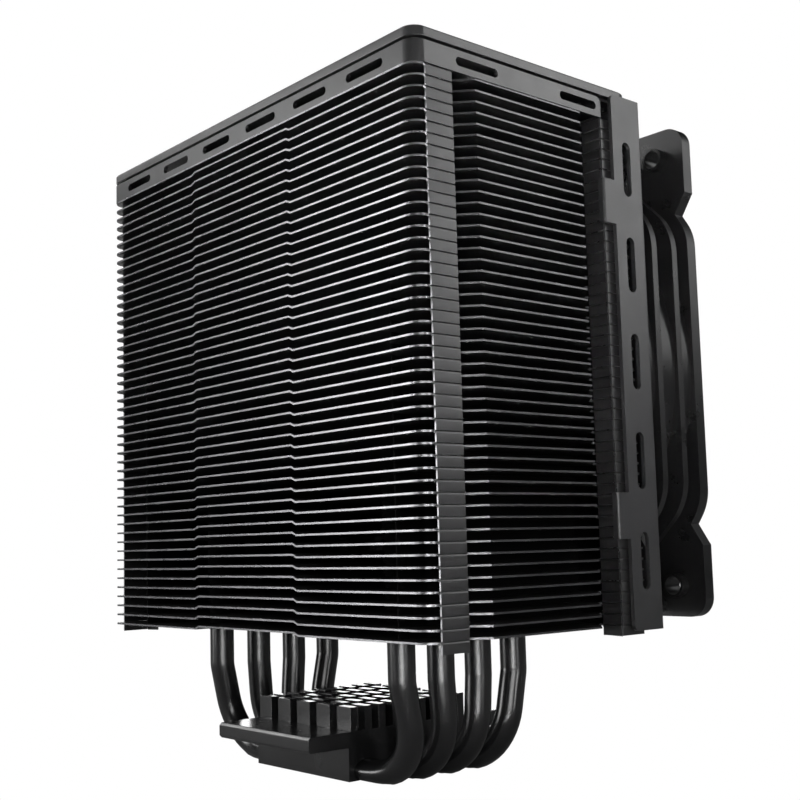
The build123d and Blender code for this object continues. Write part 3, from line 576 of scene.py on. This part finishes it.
# %% Pipe sizes
BASE_PITCH, PIPE_TOP, KINK_Z, KINK_R, ELBOW_R = 8.4 * MM, 149.2 * MM, 22.4 * MM, 8.0 * MM, 12.0 * MM
LEVEL_Z, PRESSED_Z = 2.5 * MM, 2.0 * MM
PRESS_WIDTH, PRESS_HEIGHT = 3.8 / 3.0, 2.45 / 3.0
PRESS_FROM, PRESS_TO = 30.0 * MM, 19.5 * MM
TIP = 1.4 * MM
LEVEL_STOPS = [21.6, 20.2, 18.8, 17.4, 9.0, 0.0]
ROUND = 32
PIPE_WALL = 0.45 * MM


# %% Pipe
def extrude_by(step):
    """Extrude the selected ring by a step."""
    bpy.ops.mesh.extrude_region_move(TRANSFORM_OT_translate={"value": step})


def press(pipe, base_y):
    """Flatten the level run bit by bit, ring by ring, from round to the pressed oval."""
    columns = sorted({round(v.co.x / NEAR) for v in bmesh.from_edit_mesh(pipe.data).verts})
    for column in columns:
        x = column * NEAR
        share = min(max((PRESS_FROM + x) / (PRESS_FROM - PRESS_TO), 0.0), 1.0)
        if share > 0:
            soft = share * share * (3 - 2 * share)
            pick(pipe, "VERT", lambda p: abs(p.x - x) < NEAR and p.z < LEVEL_Z + 3 * PIPE_R)
            scale = (1, 1 + soft * (PRESS_WIDTH - 1), 1 + soft * (PRESS_HEIGHT - 1))
            bpy.ops.transform.resize(value=scale, center_override=(x, base_y, LEVEL_Z))
            bpy.ops.transform.translate(value=(0, 0, soft * (PRESSED_Z - LEVEL_Z)))


def half_pipe(name, index, inset):
    """Half of a U-shaped pipe, from the top of the fins to the middle of the base, or of its lining."""
    leg_y, base_y = index * LEG_PITCH, index * BASE_PITCH
    side = 1 if index > 0 else -1
    reach = Vector((0, base_y - leg_y, LEVEL_Z - KINK_Z))
    lean = abs(Vector((0, 0, -1)).angle(reach))
    down = reach.normalized()
    kink_reach = KINK_R * sin(lean / 2) / cos(lean / 2)
    kink_top = KINK_Z + kink_reach
    bpy.ops.mesh.primitive_circle_add(vertices=ROUND, radius=PIPE_R - inset, fill_type="NGON")
    pipe = bpy.context.object
    pipe.name = name
    bpy.ops.object.mode_set(mode="EDIT")
    bpy.ops.transform.translate(value=(-LEG_X, leg_y, PIPE_TOP - inset))
    extrude_by((0, 0, -TIP))
    extrude_by((0, 0, FIRST_Z - PIPE_TOP + inset + TIP))
    extrude_by((0, 0, kink_top - FIRST_Z))
    bpy.ops.mesh.spin(steps=4, angle=lean * side, axis=(1, 0, 0),
                      center=(-LEG_X, leg_y - side * KINK_R, kink_top))
    extrude_by(down * (reach.length - kink_reach - ELBOW_R))
    elbow_start = Vector((-LEG_X, base_y, LEVEL_Z)) - down * ELBOW_R
    turn_axis = down.cross(Vector((1, 0, 0)))
    bpy.ops.mesh.spin(steps=12, angle=-pi / 2, axis=turn_axis,
                      center=elbow_start + Vector((ELBOW_R, 0, 0)))
    here = LEG_X - ELBOW_R
    for stop in LEVEL_STOPS:
        extrude_by((here - stop * MM, 0, 0))
        here = stop * MM
    bpy.ops.mesh.delete(type="FACE")
    bpy.ops.mesh.select_all(action="SELECT")
    bpy.ops.mesh.remove_doubles(threshold=NEAR / 2)
    press(pipe, base_y)
    pick(pipe, "VERT", lambda p: p.z < inset)
    bpy.ops.transform.resize(value=(1, 1, 0), center_override=(0, 0, inset))
    bpy.ops.object.mode_set(mode="OBJECT")
    return pipe


def whole_pipe(name, index, inset):
    """A pipe or its lining, with the other half mirrored on."""
    pipe = half_pipe(name, index, inset)
    alone(pipe)
    whole = pipe.modifiers.new("other_half", "MIRROR")
    whole.merge_threshold = NEAR
    bpy.ops.object.modifier_apply(modifier=whole.name)
    bpy.ops.object.mode_set(mode="EDIT")
    bpy.ops.mesh.select_all(action="SELECT")
    bpy.ops.mesh.normals_make_consistent(inside=False)
    bpy.ops.object.mode_set(mode="OBJECT")
    bpy.ops.object.shade_smooth_by_angle(angle=radians(50))
    return pipe


# %% Heat pipes
def paint_shade_inside(pipe):
    """Give the stretch of a pipe inside the fins its second finish, the matt near-black of painted shade."""
    alone(pipe)
    bpy.ops.object.mode_set(mode="EDIT")
    paint(pipe, 1, lambda p: p.z > FIRST_Z)
    bpy.ops.object.mode_set(mode="OBJECT")


for number, index in enumerate(PIPES, start=1):
    pipe = whole_pipe(f"pipe_{number}", index, 0.0)
    dress(pipe, "tower", [f"heat_pipe_{number}"], [pipe_coat, fin_painted_shade])
    # The stretch of the pipe inside the fins gets the painted shade.
    paint_shade_inside(pipe)
    lining = whole_pipe(f"lining_{number}", index, PIPE_WALL)
    dress(lining, "tower", [f"pipe_wick_{number}"], [powder])

# %% [markdown]
# ## Pieces worked from the design model
# The cast, stamped and moulded pieces keep the design model's shape. Each is copied, its doubled points are
# merged, its flat faces are cleaned up, and its sharp edges get the small rounding of the real process: a
# broken edge on the machined base, a softer one on moulded plastic.


# %% Working a copy
def worked_copy(node, name, body, width, segments, coat, angle=28.0):
    """A copy of a design node with merged points and rounded edges, which then stands for the node."""
    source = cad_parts[node]
    piece = bpy.data.objects.new(name, source.data.copy())
    bpy.context.scene.collection.objects.link(piece)
    alone(piece)
    bpy.ops.object.mode_set(mode="EDIT")
    bpy.ops.mesh.select_all(action="SELECT")
    bpy.ops.mesh.remove_doubles(threshold=0.002 * MM)
    bpy.ops.mesh.dissolve_limited(angle_limit=radians(0.4))
    bpy.ops.object.mode_set(mode="OBJECT")
    bevel_and_apply(piece, width, segments, angle)
    smooth_flats(piece, angle)
    dress(piece, body, [node], [coat])


# %% [markdown]
# The base is machined from one block: two wings for the mounting bar, and a field of small pins on top. Its
# sharp edges are broken a little. The band is stamped with slots and bent round the top, and the cover plate
# lies on it. Both are thinner metal, so their edges are rounded less.

# %% Tower pieces
worked_copy("base_block", "base", "tower", 0.16 * MM, 2, base_coat)
worked_copy("top_band", "cover_band", "tower", 0.12 * MM, 2, cover_coat)
worked_copy("top_cap", "cover_plate", "tower", 0.10 * MM, 2, cover_coat)

# %% [markdown]
# The fan's frame is moulded in one piece, and is kept as a duct and a mount with its four struts. The blades
# turn with the rotor. Their faces are curved, so the angle above which an edge counts as sharp is larger.
# The two rails are bent from sheet and ride with the fan, and four screws hold them.

# %% Fan pieces
worked_copy("fan_frame", "fan_duct", "fan", 0.20 * MM, 2, frame_plastic)
worked_copy("motor_mount", "fan_mount", "fan", 0.20 * MM, 2, frame_plastic)
worked_copy("impeller", "fan_blades", "rotor", 0.18 * MM, 2, blade_plastic, angle=40.0)
worked_copy("rail_left", "left_rail", "fan", 0.10 * MM, 2, rail_coat)
worked_copy("rail_right", "right_rail", "fan", 0.10 * MM, 2, rail_coat)
worked_copy("rail_screws", "screws", "fan", 0.06 * MM, 1, steel)

# %% [markdown]
# ## The floor
# The floor looks white to the eye and a plain grey to everything else. The shiny pipes mirror it, and on a
# grey floor they keep more contrast. A floor that looks white adds no horizon line.

# %% Floor
bpy.ops.mesh.primitive_plane_add(size=6, location=(0, 0, cad_low.z - 0.5 * MM))
floor = bpy.context.object
floor.name = "floor"
floor_finish, floor_tree, shade = finish(
    "floor_paper", (0.30, 0.30, 0.30), (0.34, 0.34, 0.34), (0.7, 0.8), patch=3.0)
white = floor_tree.nodes.new("ShaderNodeEmission")
floor_path = floor_tree.nodes.new("ShaderNodeLightPath")
floor_mix = floor_tree.nodes.new("ShaderNodeMixShader")
link(floor_tree, floor_path.outputs["Is Camera Ray"], floor_mix.inputs["Fac"])
link(floor_tree, shade.outputs[0], floor_mix.inputs[1])
link(floor_tree, white.outputs[0], floor_mix.inputs[2])
link(floor_tree, floor_mix.outputs[0], floor_tree.nodes["Material Output"].inputs["Surface"])
floor.data.materials.append(floor_finish)
print("Floor at", round(floor.location.z / MM, 2), "mm")
